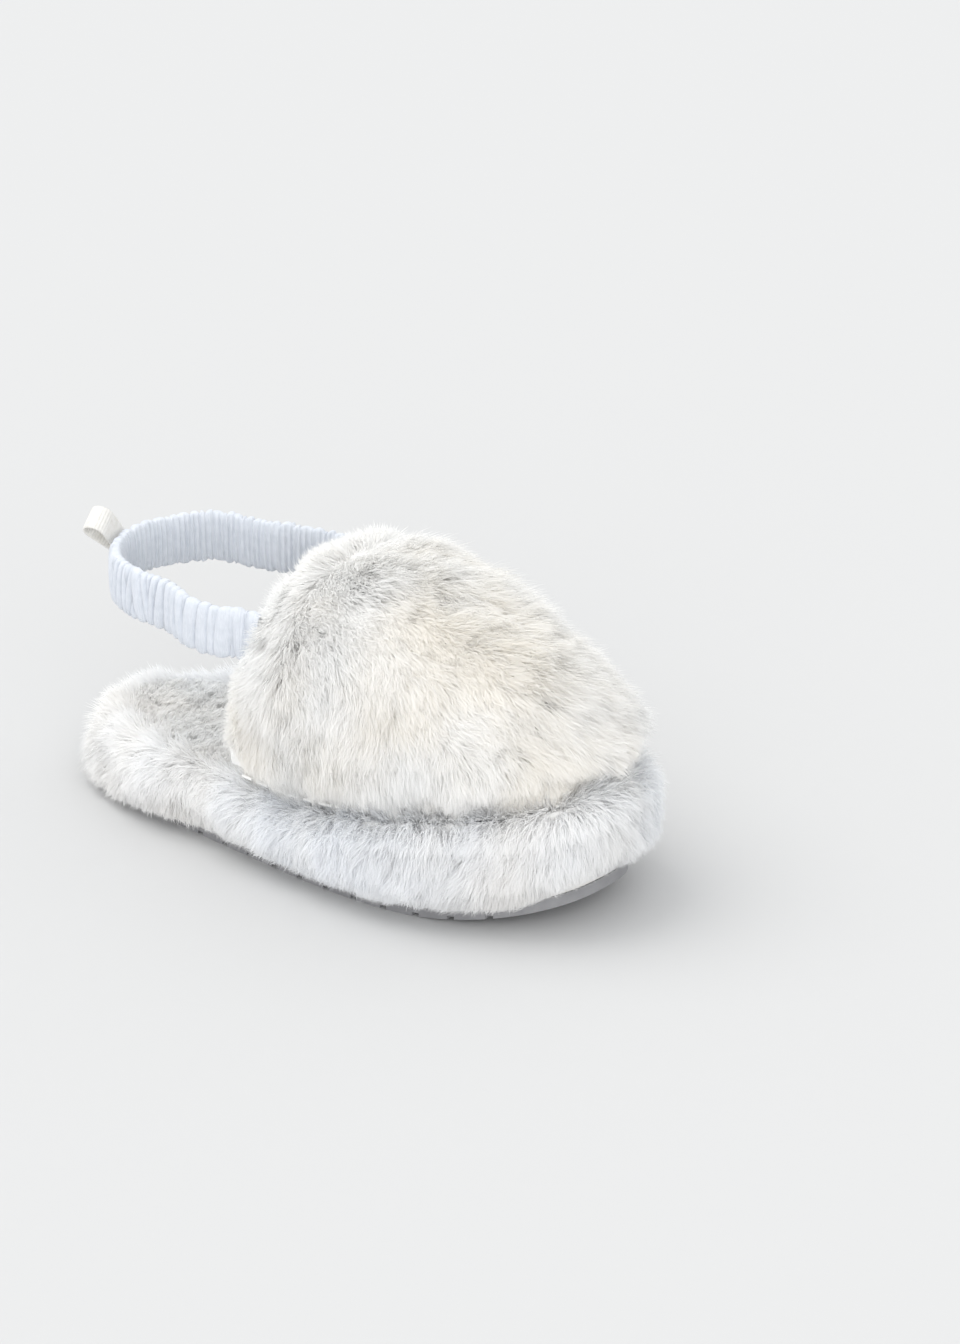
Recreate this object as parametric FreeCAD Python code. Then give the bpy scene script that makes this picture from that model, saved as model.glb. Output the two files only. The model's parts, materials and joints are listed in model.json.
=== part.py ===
import FreeCAD, Part
import math
import os

from FreeCAD import Vector

# A toddler's faux-fur slingback house slipper, for the right foot.
# Millimetres. +Z is up, -Y points to the toe, +Y to the heel, -X is the outer (lateral) side.
# The origin is on the floor, under the middle of the sole.

# ---- Driving dimensions -------------------------------------------------------------------

# Footprint of the platform, measured over the fur
LENGTH = 150.0
BALL_HALF_WIDTH = 36.0
HEEL_HALF_WIDTH = 31.5
BALL_AT = 0.30               # share of the length, from the toe, where the widest part ends
HEEL_AT = 0.72               # share of the length where the heel's own width begins
FOOTPRINT_POWER = 2.5        # superellipse power that rounds the toe and the heel
TOE_SHIFT = 2.5              # how far the toe leans to the inner side
TOE_SHIFT_RUN = 50.0

# Toe spring: forward of this line the sole curves up off the floor
SPRING_Y = -30.0
TOE_LIFT = 9.0

# Levels of the layers, measured up from the floor in the flat part
FUR_HEM = 0.6
OUTSOLE_TOP = 2.6
MIDSOLE_TOP = 12.0
BOARD_TOP = 13.2
FOAM_TOP = 16.0
PLUSH_TOP = 18.5
LAYER_GAP = 0.05

# Height of the fur rim above the sprung floor, and where it changes from the waist's height
RIM_HEEL = 22.0
RIM_WAIST = 19.5
RIM_TOE = 24.0
RIM_HEEL_Y = 20.0
RIM_HEEL_RUN = 40.0
RIM_TOE_Y = 5.0
RIM_TOE_RUN = 50.0

SIDEWALL_FUR = 8.0
SIDEWALL_TOP_ROUND = 5.0
SIDEWALL_HEM_ROUND = 3.0
CORE_GAP = 0.1

OUTSOLE_INSET = 7.5          # the outsole's edge, drawn in from the footprint

# Grip grooves across the outsole; a pad lies between the middle two
GROOVE_DEPTH = 0.8
GROOVE_WIDTH = 1.6
GROOVE_PITCH = 8.0
GROOVE_PAIRS = 7

# Vamp: the closed dome over the toes
VAMP_FRONT_Y = -74.0
VAMP_CREST_Y = -6.0
VAMP_BASE_Z = 16.0
VAMP_PEAK_Z = 73.0
VAMP_OVERHANG = 2.0          # half width of the dome beyond the footprint, before the tuck
VAMP_TUCK = 0.20             # how far the dome draws in at its seam, as a share of its half width
VAMP_HEIGHT_POWERS = (1.6, 0.35)   # how the dome falls to the toe
VAMP_WIDTH_POWERS = (2.5, 0.4)     # how it narrows to the toe
VAMP_SECTION_POWERS = (0.77, 0.87)   # across and up, in its cross-section
VAMP_FUR = 6.0
INTERLINING = 0.6
LINING = 1.2
SHELL_GAP = 0.1
SEAM_GAP = 1.2

# Topline: the vamp's open rear edge, an arc in side view through these (y, z) points
TOPLINE_FOOT = (18.0, 14.0)
TOPLINE_MIDDLE = (14.0, 50.0)
TOPLINE_HEAD = (4.0, 78.0)
BINDING_WIDTH = 3.0
BINDING_DEPTH = 1.6

# Heel strap
STRAP_HINGE_Y = 21.0
STRAP_HINGE_Z = 52.5
STRAP_HEIGHT = 12.4
STRAP_THICKNESS = 3.0
STRAP_HALF_SPAN = 24.6       # from the middle plane to the strap's centre line, at its hinge
STRAP_BEND_HALF = 20.0       # the same, where the strap bends round the heel
STRAP_STRAIGHT_Y = 23.0      # the arms run straight as far back as this
STRAP_BACK_Y = 64.7
CASING_WALL = 0.7
ELASTIC_THICKNESS = 1.0
ELASTIC_HEIGHT = 10.0
STRAP_END_THICKNESS = 1.2
STRAP_END_GAP = 0.4
STRAP_END_FRONT_Y = 6.0
STRAP_END_RADIUS = 4.0
POCKET_GAP = 0.15

# Ribbon pull loop at the back of the strap
TAB_WIDTH = 6.0
TAB_CENTRE_X = -4.0
TAB_HINGE_Y = 67.7
TAB_HINGE_Z = 55.5
TAB_BASE_RADIUS = 0.9
TAB_HEAD_RADIUS = 2.8
TAB_REACH = 6.4
TAB_RIBBON = 0.6
TAB_LEAN = 24.0              # degrees back from upright
TAB_TILT = 36.0              # degrees down at the outer side
TAB_TURN = 12.0              # degrees round the strap's bend
TAB_TACK_GAP = 0.35          # from the strap to the threads that hold the loop
TAB_TACK_DROP = 2.8          # from the loop's base down to the first thread

# Threads
STITCH_RADIUS = 0.35
STITCH_LENGTH = 3.0
STITCH_PITCH = 4.4
SEAM_STITCH_INSET = 6.5      # of the vamp seam's stitches, from the footprint
TOPLINE_STITCH_SHARE = 0.6   # of each stitch's pitch
THREAD_GAP = 0.1             # between a thread and the cloth it lies on
BARTACK_BARS = 4
BARTACK_PITCH = 1.1
BARTACK_HEIGHT = 5.2
BARTACK_BACK = 2.0           # from the strap's hinge forward to the bar tack's middle

TOE_Y = -LENGTH / 2
HEEL_Y = LENGTH / 2
WIDE = 120.0                 # more than the slipper's width, for cutting tools
DEEP = 30.0                  # well below the floor, for cutting tools
SPRING_RADIUS = ((SPRING_Y - TOE_Y) ** 2 + TOE_LIFT ** 2) / (2 * TOE_LIFT)


# ---- Shape formulas -----------------------------------------------------------------------

def ease(value):
    """Smooth step from 0 to 1."""
    t = min(max(value, 0.0), 1.0)
    return t * t * (3 - 2 * t)


def power(value, exponent):
    """Signed power, for superellipses."""
    return math.copysign(abs(value) ** exponent, value)


def half_width(y):
    """Half width of the footprint at y, before its ends are rounded."""
    share = (y - TOE_Y) / LENGTH
    blend = ease((share - BALL_AT) / (HEEL_AT - BALL_AT))
    return BALL_HALF_WIDTH + (HEEL_HALF_WIDTH - BALL_HALF_WIDTH) * blend


def toe_shift(y):
    """Sideways lean of the centre line towards the inner side."""
    return TOE_SHIFT * ease((SPRING_Y - y) / TOE_SHIFT_RUN)


def lift(y):
    """Height of the toe spring at y."""
    ahead = max(SPRING_Y - y, 0.0)
    return SPRING_RADIUS - math.sqrt(SPRING_RADIUS ** 2 - ahead ** 2)


def rim_height(y):
    """Top of the fur rim at y, above the floor."""
    heel_part = (RIM_HEEL - RIM_WAIST) * ease((y - RIM_HEEL_Y) / RIM_HEEL_RUN)
    toe_part = (RIM_TOE - RIM_WAIST) * ease((RIM_TOE_Y - y) / RIM_TOE_RUN)
    return RIM_WAIST + heel_part + toe_part + lift(y)


def footprint_point(turn, inset):
    """A point of the footprint, drawn in by inset."""
    along = power(math.cos(turn), 2 / FOOTPRINT_POWER)
    across = power(math.sin(turn), 2 / FOOTPRINT_POWER)
    y = (LENGTH / 2 - inset) * along
    return Vector((half_width(y) - inset) * across + toe_shift(y), y, 0)


# ---- Building blocks ----------------------------------------------------------------------

def footprint_prism(inset, low=-5.0, high=60.0):
    """Upright prism over the footprint drawn in by inset."""
    count = 48
    points = [footprint_point(2 * math.pi * (k + 0.5) / count, inset) for k in range(count)]
    for point in points:
        point.z = low
    curve = Part.BSplineCurve()
    curve.interpolate(Points=points, PeriodicFlag=True)
    face = Part.Face(Part.Wire([curve.toShape()]))
    return face.extrude(Vector(0, 0, high - low))


def side_prism(edges):
    """Prism across the whole width from closed edges drawn in the plane x = -WIDE / 2."""
    face = Part.Face(Part.Wire(edges))
    return face.extrude(Vector(WIDE, 0, 0))


def side_point(y, z):
    return Vector(-WIDE / 2, y, z)


def sprung_line(level):
    """Heel-to-toe line at a level above the sole: straight, then the arc of the toe spring."""
    heel_end = side_point(HEEL_Y + 10, level)
    bend = side_point(SPRING_Y, level)
    radius = SPRING_RADIUS - level
    full = math.asin((SPRING_Y - TOE_Y + 6) / SPRING_RADIUS)
    arc_points = []
    for angle in (full / 2, full):
        y = SPRING_Y - radius * math.sin(angle)
        arc_points.append(side_point(y, SPRING_RADIUS - radius * math.cos(angle)))
    return [Part.LineSegment(heel_end, bend).toShape(), Part.Arc(bend, *arc_points).toShape()]


def join_ends(first, second):
    """Two straight edges that close a band between two heel-to-toe lines."""
    toe_ends = [line[-1].lastVertex(True).Point for line in (first, second)]
    heel_ends = [line[0].firstVertex(True).Point for line in (first, second)]
    return [Part.LineSegment(*toe_ends).toShape(), Part.LineSegment(*heel_ends).toShape()]


def sprung_slab(low, high):
    """Layer between two levels that follows the toe spring."""
    bottom = sprung_line(low)
    top = sprung_line(high)
    edges = Part.sortEdges(bottom + top + join_ends(bottom, top))[0]
    return side_prism(edges)


def below_rim(offset):
    """Everything under the rim line, raised by offset."""
    stations = [HEEL_Y + 10 - k * (LENGTH + 12) / 12 for k in range(13)]
    points = [side_point(y, rim_height(max(y, TOE_Y)) + offset) for y in stations]
    curve = Part.BSplineCurve()
    curve.interpolate(Points=points)
    low_heel = side_point(points[0].y, -10)
    low_toe = side_point(points[-1].y, -10)
    edges = [curve.toShape()]
    edges.append(Part.LineSegment(points[-1], low_toe).toShape())
    edges.append(Part.LineSegment(low_toe, low_heel).toShape())
    edges.append(Part.LineSegment(low_heel, points[0]).toShape())
    return side_prism(edges)


def layer(inset, low, high):
    """A sole layer of the footprint's shape."""
    return footprint_prism(inset).common(sprung_slab(low, high))


def vamp_share(turn):
    """Shares of the dome's half width and height at a turn from one seam over the top to the other."""
    rise = abs(math.sin(turn))
    tuck = 1 - VAMP_TUCK * (1 - rise) ** 3
    return power(math.cos(turn), VAMP_SECTION_POWERS[0]) * tuck, rise ** VAMP_SECTION_POWERS[1]


def vamp_section(y, inset):
    """Closed outline of the dome at y, drawn in by inset."""
    reach = VAMP_CREST_Y - VAMP_FRONT_Y - inset
    ahead = min(max((VAMP_CREST_Y - y) / reach, 0.0), 1.0)
    drop, drop_root = VAMP_HEIGHT_POWERS
    height = (VAMP_PEAK_Z - VAMP_BASE_Z - inset) * (1 - ahead ** drop) ** drop_root
    end = min(abs(min(y, 0.0)) / (-VAMP_FRONT_Y - inset), 1.0)
    narrow, narrow_root = VAMP_WIDTH_POWERS
    half = (half_width(y) + VAMP_OVERHANG - inset) * (1 - end ** narrow) ** narrow_root
    count = 20
    points = []
    for k in range(count + 1):
        across, up = vamp_share(math.pi * k / count)
        points.append(Vector(half * across + toe_shift(y), y, VAMP_BASE_Z + height * up))
    curve = Part.BSplineCurve()
    curve.interpolate(Points=points)
    base = Part.LineSegment(points[-1], points[0])
    return Part.Wire([curve.toShape(), base.toShape()])


def vamp_dome(inset):
    """Solid dome of the vamp, drawn in by inset, before its rear is opened."""
    front = VAMP_FRONT_Y + inset
    rear = TOPLINE_FOOT[0] + 6
    nose = [0.15, 1.2, 4, 9, 17, 27]
    stations = [front + step for step in nose]
    body = 8
    for k in range(1, body + 1):
        stations.append(stations[len(nose) - 1] + (rear - stations[len(nose) - 1]) * k / body)
    sections = [vamp_section(y, inset) for y in stations]
    return Part.makeLoft(sections, True, False)


def behind_topline(forward):
    """Everything behind the topline arc, moved forward by a distance."""
    foot = side_point(TOPLINE_FOOT[0] - forward, TOPLINE_FOOT[1])
    middle = side_point(TOPLINE_MIDDLE[0] - forward, TOPLINE_MIDDLE[1])
    head = side_point(TOPLINE_HEAD[0] - forward, TOPLINE_HEAD[1])
    back_head = side_point(80, TOPLINE_HEAD[1])
    back_foot = side_point(80, TOPLINE_FOOT[1])
    edges = [Part.Arc(foot, middle, head).toShape()]
    edges.append(Part.LineSegment(head, back_head).toShape())
    edges.append(Part.LineSegment(back_head, back_foot).toShape())
    edges.append(Part.LineSegment(back_foot, foot).toShape())
    return side_prism(edges)


def strap_plan(offset, front):
    """Area in plan inside the strap's line, moved out by offset; its open end is at front."""
    half = STRAP_HALF_SPAN + offset
    bend_half = STRAP_BEND_HALF + offset
    bend_y = STRAP_BACK_Y - STRAP_BEND_HALF
    middle_y = (STRAP_STRAIGHT_Y + bend_y) / 2
    fronts = []
    bends = []
    edges = []
    for side in (-1, 1):
        fronts.append(Vector(side * half, front, 0))
        straight = Vector(side * half, STRAP_STRAIGHT_Y, 0)
        bends.append(Vector(side * bend_half, bend_y, 0))
        edges.append(Part.LineSegment(fronts[-1], straight).toShape())
        draw_in = Part.BezierCurve()
        controls = [Vector(side * half, middle_y, 0), Vector(side * bend_half, middle_y, 0)]
        draw_in.setPoles([straight, *controls, bends[-1]])
        edges.append(draw_in.toShape())
    edges.append(Part.Arc(bends[0], Vector(0, bend_y + bend_half, 0), bends[1]).toShape())
    edges.append(Part.LineSegment(*fronts).toShape())
    return Part.Face(Part.Wire(Part.sortEdges(edges)[0]))


def strap_band(thickness, height, front):
    """U-shaped upright band centred on the strap's line."""
    outer = strap_plan(thickness / 2, front)
    inner = strap_plan(-thickness / 2, front - 1)
    band = outer.cut(inner).extrude(Vector(0, 0, height))
    band.translate(Vector(0, 0, STRAP_HINGE_Z - height / 2))
    return band


def x_cylinder(radius, x, length, y, z):
    return Part.makeCylinder(radius, length, Vector(x, y, z), Vector(1, 0, 0))


def bar(start, end, radius):
    """A straight length of thread."""
    along = end - start
    return Part.makeCylinder(radius, along.Length, start, along)


# ---- Sole ---------------------------------------------------------------------------------

def make_outsole():
    sole = layer(OUTSOLE_INSET, 0, OUTSOLE_TOP)
    grooves = []
    for k in range(-GROOVE_PAIRS, GROOVE_PAIRS):
        y = (k + 0.5) * GROOVE_PITCH
        groove = Part.makeBox(WIDE, GROOVE_WIDTH, GROOVE_DEPTH * 2)
        groove.translate(Vector(-WIDE / 2, y - GROOVE_WIDTH / 2, lift(y) - GROOVE_DEPTH))
        grooves.append(groove)
    return sole.cut(Part.makeCompound(grooves))


def make_midsole():
    return layer(SIDEWALL_FUR + CORE_GAP, OUTSOLE_TOP + LAYER_GAP, MIDSOLE_TOP)


def make_insole_board():
    return layer(SIDEWALL_FUR + CORE_GAP, MIDSOLE_TOP + LAYER_GAP, BOARD_TOP)


def make_footbed_foam():
    return layer(SIDEWALL_FUR + CORE_GAP, BOARD_TOP + LAYER_GAP, FOAM_TOP)


def make_footbed_plush():
    return layer(SIDEWALL_FUR + CORE_GAP, FOAM_TOP + LAYER_GAP, PLUSH_TOP)


def make_sidewall_fur():
    """Fur cover round the platform's edge, its hem turned under beside the outsole."""
    body = footprint_prism(0).common(below_rim(0)).cut(sprung_slab(-DEEP, FUR_HEM))
    crown = []
    hem = []
    for edge in body.Edges:
        box = edge.BoundBox
        if box.XLength < LENGTH / 4:
            continue
        middle = edge.valueAt((edge.FirstParameter + edge.LastParameter) / 2)
        if middle.z > rim_height(middle.y) - 2:
            crown.append(edge)
        elif middle.z < lift(middle.y) + FUR_HEM + 1:
            hem.append(edge)
    body = body.makeFillet(SIDEWALL_TOP_ROUND, crown).makeFillet(SIDEWALL_HEM_ROUND, hem)
    ring = body.cut(footprint_prism(SIDEWALL_FUR))
    outsole_room = footprint_prism(OUTSOLE_INSET - CORE_GAP)
    return ring.cut(outsole_room.common(sprung_slab(-DEEP, OUTSOLE_TOP + LAYER_GAP)))


# ---- Vamp ---------------------------------------------------------------------------------

def vamp_shell(outer_inset, inner_inset, rim_gap, topline_forward):
    """One layer of the vamp, open at its base and its rear."""
    shell = vamp_dome(outer_inset).cut(vamp_dome(inner_inset))
    shell = shell.cut(below_rim(rim_gap))
    return shell.cut(behind_topline(topline_forward))


def strap_pockets():
    """Room for the strap's sewn ends inside the vamp's layers."""
    return Part.makeCompound([strap_end(side, POCKET_GAP) for side in (-1, 1)])


def make_vamp_fur():
    shell = vamp_shell(0, VAMP_FUR, SEAM_GAP, 0)
    return shell.cut(strap_pockets())


def make_vamp_interlining():
    outer = VAMP_FUR + SHELL_GAP
    shell = vamp_shell(outer, outer + INTERLINING, SEAM_GAP, BINDING_WIDTH + SHELL_GAP)
    return shell.cut(strap_pockets())


def make_vamp_lining():
    outer = VAMP_FUR + 2 * SHELL_GAP + INTERLINING
    shell = vamp_shell(outer, outer + LINING, SEAM_GAP, BINDING_WIDTH + SHELL_GAP)
    return shell.cut(strap_pockets())


def make_topline_binding():
    outer = VAMP_FUR + SHELL_GAP
    shell = vamp_shell(outer, outer + BINDING_DEPTH, SEAM_GAP, 0)
    return shell.common(behind_topline(BINDING_WIDTH)).cut(strap_pockets())


# ---- Heel strap ---------------------------------------------------------------------------

def strap_end(side, grow=0.0):
    """Flat sewn-in end of the strap, beside the strap's inner face."""
    inner_face = STRAP_HALF_SPAN - STRAP_THICKNESS / 2 - STRAP_END_GAP
    x_low = inner_face - STRAP_END_THICKNESS - grow
    thickness = STRAP_END_THICKNESS + 2 * grow
    radius = STRAP_END_RADIUS + grow
    front = STRAP_END_FRONT_Y - grow
    plate = Part.makeBox(thickness, STRAP_HINGE_Y - front, 2 * radius)
    plate.translate(Vector(x_low, front, STRAP_HINGE_Z - radius))
    rounded = plate.fuse(x_cylinder(radius, x_low, thickness, STRAP_HINGE_Y, STRAP_HINGE_Z)).removeSplitter()
    if side < 0:
        return rounded.mirror(Vector(0, 0, 0), Vector(1, 0, 0))
    return rounded


def make_bartack(side):
    """Zigzag bar tack, as upright threads on the inner face of the strap's end."""
    face = STRAP_HALF_SPAN - STRAP_THICKNESS / 2 - STRAP_END_GAP - STRAP_END_THICKNESS
    x = side * (face - STITCH_RADIUS - THREAD_GAP)
    bars = []
    for k in range(BARTACK_BARS):
        y = STRAP_HINGE_Y - BARTACK_BACK + (k - (BARTACK_BARS - 1) / 2) * BARTACK_PITCH
        start = Vector(x, y, STRAP_HINGE_Z - BARTACK_HEIGHT / 2)
        end = Vector(x, y, STRAP_HINGE_Z + BARTACK_HEIGHT / 2)
        bars.append(bar(start, end, STITCH_RADIUS))
    return Part.makeCompound(bars)


def make_strap_casing():
    """Fabric tube of the strap, its ends rounded about the line that it swings on."""
    band = strap_band(STRAP_THICKNESS, STRAP_HEIGHT, STRAP_HINGE_Y)
    x_inner = STRAP_HALF_SPAN - STRAP_THICKNESS / 2
    for x in (x_inner, -x_inner - STRAP_THICKNESS):
        band = band.fuse(x_cylinder(STRAP_HEIGHT / 2, x, STRAP_THICKNESS, STRAP_HINGE_Y, STRAP_HINGE_Z))
    channel = strap_band(STRAP_THICKNESS - 2 * CASING_WALL, STRAP_HEIGHT - 2 * CASING_WALL, STRAP_HINGE_Y)
    return band.removeSplitter().cut(channel)


def make_strap_elastic():
    return strap_band(ELASTIC_THICKNESS, ELASTIC_HEIGHT, STRAP_HINGE_Y + 0.5)


# ---- Pull loop ----------------------------------------------------------------------------

def teardrop(inset):
    """Side view of the pull loop, drawn in by inset: two arcs and the tangents between them."""
    small = TAB_BASE_RADIUS - inset
    large = TAB_HEAD_RADIUS - inset
    lean = math.acos((TAB_BASE_RADIUS - TAB_HEAD_RADIUS) / TAB_REACH)
    head = Vector(0, 0, TAB_REACH)

    def around(centre, radius, angle):
        return centre + Vector(0, radius * math.sin(angle), radius * math.cos(angle))

    base = Vector(0, 0, 0)
    base_left = around(base, small, -lean)
    base_right = around(base, small, lean)
    head_left = around(head, large, -lean)
    head_right = around(head, large, lean)
    edges = [Part.Arc(base_left, around(base, small, math.pi), base_right).toShape()]
    edges.append(Part.LineSegment(base_right, head_right).toShape())
    edges.append(Part.Arc(head_right, around(head, large, 0), head_left).toShape())
    edges.append(Part.LineSegment(head_left, base_left).toShape())
    return Part.Face(Part.Wire(Part.sortEdges(edges)[0])).extrude(Vector(TAB_WIDTH, 0, 0))


def make_pull_tab():
    loop = teardrop(0).cut(teardrop(TAB_RIBBON))
    loop.translate(Vector(-TAB_WIDTH / 2, 0, 0))
    loop.rotate(Vector(0, 0, 0), Vector(1, 0, 0), -TAB_LEAN)
    loop.rotate(Vector(0, 0, 0), Vector(0, 1, 0), -TAB_TILT)
    loop.rotate(Vector(0, 0, 0), Vector(0, 0, 1), TAB_TURN)
    loop.translate(Vector(TAB_CENTRE_X, TAB_HINGE_Y, TAB_HINGE_Z))
    return loop


def make_pull_tab_bartack():
    """Threads across the strap's outer face, under the pull loop."""
    bars = []
    half = TAB_WIDTH / 2 - 1
    outer = STRAP_BEND_HALF + STRAP_THICKNESS / 2 + STITCH_RADIUS + TAB_TACK_GAP
    bend_y = STRAP_BACK_Y - STRAP_BEND_HALF
    for k in range(BARTACK_BARS):
        z = TAB_HINGE_Z - TAB_BASE_RADIUS - TAB_TACK_DROP - k * BARTACK_PITCH
        ends = []
        for x in (TAB_CENTRE_X - half, TAB_CENTRE_X + half):
            ends.append(Vector(x, bend_y + math.sqrt(outer ** 2 - x ** 2), z))
        bars.append(bar(ends[0], ends[1], STITCH_RADIUS))
    return Part.makeCompound(bars)


# ---- Stitches -----------------------------------------------------------------------------

def make_vamp_seam_stitches():
    """Running stitches in the groove between the vamp and the platform's fur."""
    path = []
    steps = 720                  # fine enough that stitches start and end where their lengths say
    for k in range(steps):
        point = footprint_point(2 * math.pi * k / steps, SEAM_STITCH_INSET)
        if point.y < TOPLINE_FOOT[0] - 4:
            path.append(Vector(point.x, point.y, rim_height(point.y) + SEAM_GAP / 2))
    stitches = []
    run = 0.0
    start = path[0]
    drawing = True
    for before, after in zip(path, path[1:]):
        run += (after - before).Length
        if drawing and run >= STITCH_LENGTH:
            stitches.append(bar(start, after, STITCH_RADIUS))
            drawing = False
        if run >= STITCH_PITCH:
            run = 0.0
            start = after
            drawing = True
    return Part.makeCompound(stitches)


def make_topline_stitches():
    """Running stitches along the binding, on the inside of the topline."""
    inset = VAMP_FUR + SHELL_GAP + BINDING_DEPTH + STITCH_RADIUS + THREAD_GAP
    stitches = []
    foot = Vector(0, TOPLINE_FOOT[0], TOPLINE_FOOT[1])
    middle = Vector(0, TOPLINE_MIDDLE[0], TOPLINE_MIDDLE[1])
    head = Vector(0, TOPLINE_HEAD[0], TOPLINE_HEAD[1])
    arc = Part.Arc(foot, middle, head)
    count = 30
    path = []
    for k in range(1, count):
        across, up = vamp_share(math.pi * k / count)
        z = VAMP_BASE_Z + (VAMP_PEAK_Z - VAMP_BASE_Z - inset) * up
        level = Part.Line(Vector(0, 0, z), Vector(0, 1, z))
        y = arc.intersect(level)[0].Y - BINDING_WIDTH / 2
        half = half_width(y) + VAMP_OVERHANG - inset
        if z > rim_height(y) + SEAM_GAP + 1:
            path.append(Vector(half * across, y, z))
    pockets = strap_pockets()
    for before, after in zip(path, path[1:]):
        step = after - before
        stitch = bar(before, before + step * TOPLINE_STITCH_SHARE, STITCH_RADIUS)
        if stitch.distToShape(pockets)[0] > THREAD_GAP:    # the row stops at the strap's sewn ends
            stitches.append(stitch)
    return Part.makeCompound(stitches)


# ---- Output -------------------------------------------------------------------------------

NODES = {
    "outsole": make_outsole,
    "midsole": make_midsole,
    "insole_board": make_insole_board,
    "footbed_foam": make_footbed_foam,
    "footbed_plush": make_footbed_plush,
    "sidewall_fur": make_sidewall_fur,
    "vamp_fur": make_vamp_fur,
    "vamp_interlining": make_vamp_interlining,
    "vamp_lining": make_vamp_lining,
    "topline_binding": make_topline_binding,
    "vamp_seam_stitches": make_vamp_seam_stitches,
    "topline_stitches": make_topline_stitches,
    "strap_end_lateral": lambda: strap_end(-1),
    "strap_end_medial": lambda: strap_end(1),
    "bartack_lateral": lambda: make_bartack(-1),
    "bartack_medial": lambda: make_bartack(1),
    "strap_casing": make_strap_casing,
    "strap_elastic": make_strap_elastic,
    "pull_tab": make_pull_tab,
    "pull_tab_bartack": make_pull_tab_bartack,
}

os.makedirs("parts", exist_ok=True)
for node, make in NODES.items():
    shape = make()
    shape.exportStep("parts/" + node + ".step")
    print(node, "valid" if shape.isValid() else "INVALID", len(shape.Solids), round(shape.Volume, 1))
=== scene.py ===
import json
import math

import bpy
import numpy as np
from mathutils import Matrix, Vector


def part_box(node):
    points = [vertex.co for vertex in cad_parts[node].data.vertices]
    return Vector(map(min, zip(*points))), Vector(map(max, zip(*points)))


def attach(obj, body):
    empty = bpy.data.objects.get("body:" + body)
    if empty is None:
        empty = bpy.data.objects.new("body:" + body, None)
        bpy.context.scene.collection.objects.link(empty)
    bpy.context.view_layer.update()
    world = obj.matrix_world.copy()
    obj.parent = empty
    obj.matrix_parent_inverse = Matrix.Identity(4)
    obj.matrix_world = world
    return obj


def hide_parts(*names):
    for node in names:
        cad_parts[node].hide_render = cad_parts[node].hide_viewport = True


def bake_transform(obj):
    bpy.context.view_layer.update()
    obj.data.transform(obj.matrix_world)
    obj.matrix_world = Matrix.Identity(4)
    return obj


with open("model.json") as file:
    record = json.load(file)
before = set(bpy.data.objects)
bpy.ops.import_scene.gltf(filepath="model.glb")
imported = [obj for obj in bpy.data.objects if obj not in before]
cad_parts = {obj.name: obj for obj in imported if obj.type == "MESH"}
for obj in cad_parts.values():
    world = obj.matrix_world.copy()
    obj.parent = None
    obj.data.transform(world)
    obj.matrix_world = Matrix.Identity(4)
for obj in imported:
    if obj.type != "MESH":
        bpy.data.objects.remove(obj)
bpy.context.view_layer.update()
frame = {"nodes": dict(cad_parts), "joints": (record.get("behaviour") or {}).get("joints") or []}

# A toddler's faux-fur slingback slipper, for the right foot.
# Shapes are worked out in millimetres and scaled to metres as each mesh is made.
# +Z is up, -Y points to the toe, +Y to the heel, -X is the outer side.

MM = 0.001
JOINTS = {joint["name"]: joint for joint in frame["joints"]}


def corners(node):
    """Lowest and highest corner of a CAD node, in millimetres."""
    low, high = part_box(node)
    return np.array(low) / MM, np.array(high) / MM


# ---- Sizes from the frame -----------------------------------------------------------------

SIDE_LOW, SIDE_HIGH = corners("sidewall_fur")
STRAP_LOW, STRAP_HIGH = corners("strap_casing")
STRAP_HINGE = np.array(JOINTS["strap_swing"]["pos_m"]) / MM
TAB_HINGE = np.array(JOINTS["loop_flop"]["pos_m"]) / MM

LENGTH = SIDE_HIGH[1] - SIDE_LOW[1]
TOE_Y = SIDE_LOW[1]
BALL_HALF_WIDTH = 36.0
HEEL_HALF_WIDTH = 31.5
TOE_SHIFT = 2.5              # how far the toe leans towards the inner side
SPRING_Y = -30.0             # ahead of this the sole rises towards the toe
TOE_LIFT = 9.0               # and by this much at its front
SPRING_RADIUS = ((SPRING_Y - TOE_Y) ** 2 + TOE_LIFT ** 2) / (2 * TOE_LIFT)
RIM_HEEL = 22.0              # height of the fur rim above the sole line: heel, waist and toe
RIM_WAIST = 19.5
RIM_TOE = 24.0
PLUSH_TOP = 18.5
FLOOR_CLEARANCE = 0.35       # the lowest that any strand hangs

VAMP_BASE_Z = 16.0
VAMP_PEAK_Z = 73.0
VAMP_CREST_Y = -6.0
VAMP_FRONT_Y = -74.0
VAMP_OVERHANG = 2.0          # how much wider the dome is than the platform, each side
VAMP_TUCK = 0.20             # share by which its lower sides turn in
TOPLINE_FOOT = (18.0, 14.0)  # y and z of three points on the vamp's rear edge
TOPLINE_MIDDLE = (14.0, 50.0)
TOPLINE_HEAD = (4.0, 78.0)

OUTLINE_POWER = 0.8          # squareness of the platform's outline
VAMP_HEIGHT_POWERS = (1.6, 0.35)     # how the dome falls to the toe
VAMP_WIDTH_POWERS = (2.5, 0.4)       # how it narrows to the toe
VAMP_SECTION_POWERS = (0.77, 0.87)   # across and up, in its cross-section


# ---- Shape formulas -----------------------------------------------------------------------

def ease(value):
    t = np.clip(value, 0.0, 1.0)
    return t * t * (3 - 2 * t)


def power(value, exponent):
    return np.sign(value) * np.abs(value) ** exponent


def unit(vectors):
    return vectors / np.maximum(np.linalg.norm(vectors, axis=-1, keepdims=True), 1e-9)


def half_width(y):
    share = (y - TOE_Y) / LENGTH
    return BALL_HALF_WIDTH + (HEEL_HALF_WIDTH - BALL_HALF_WIDTH) * ease((share - 0.30) / 0.42)


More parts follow.
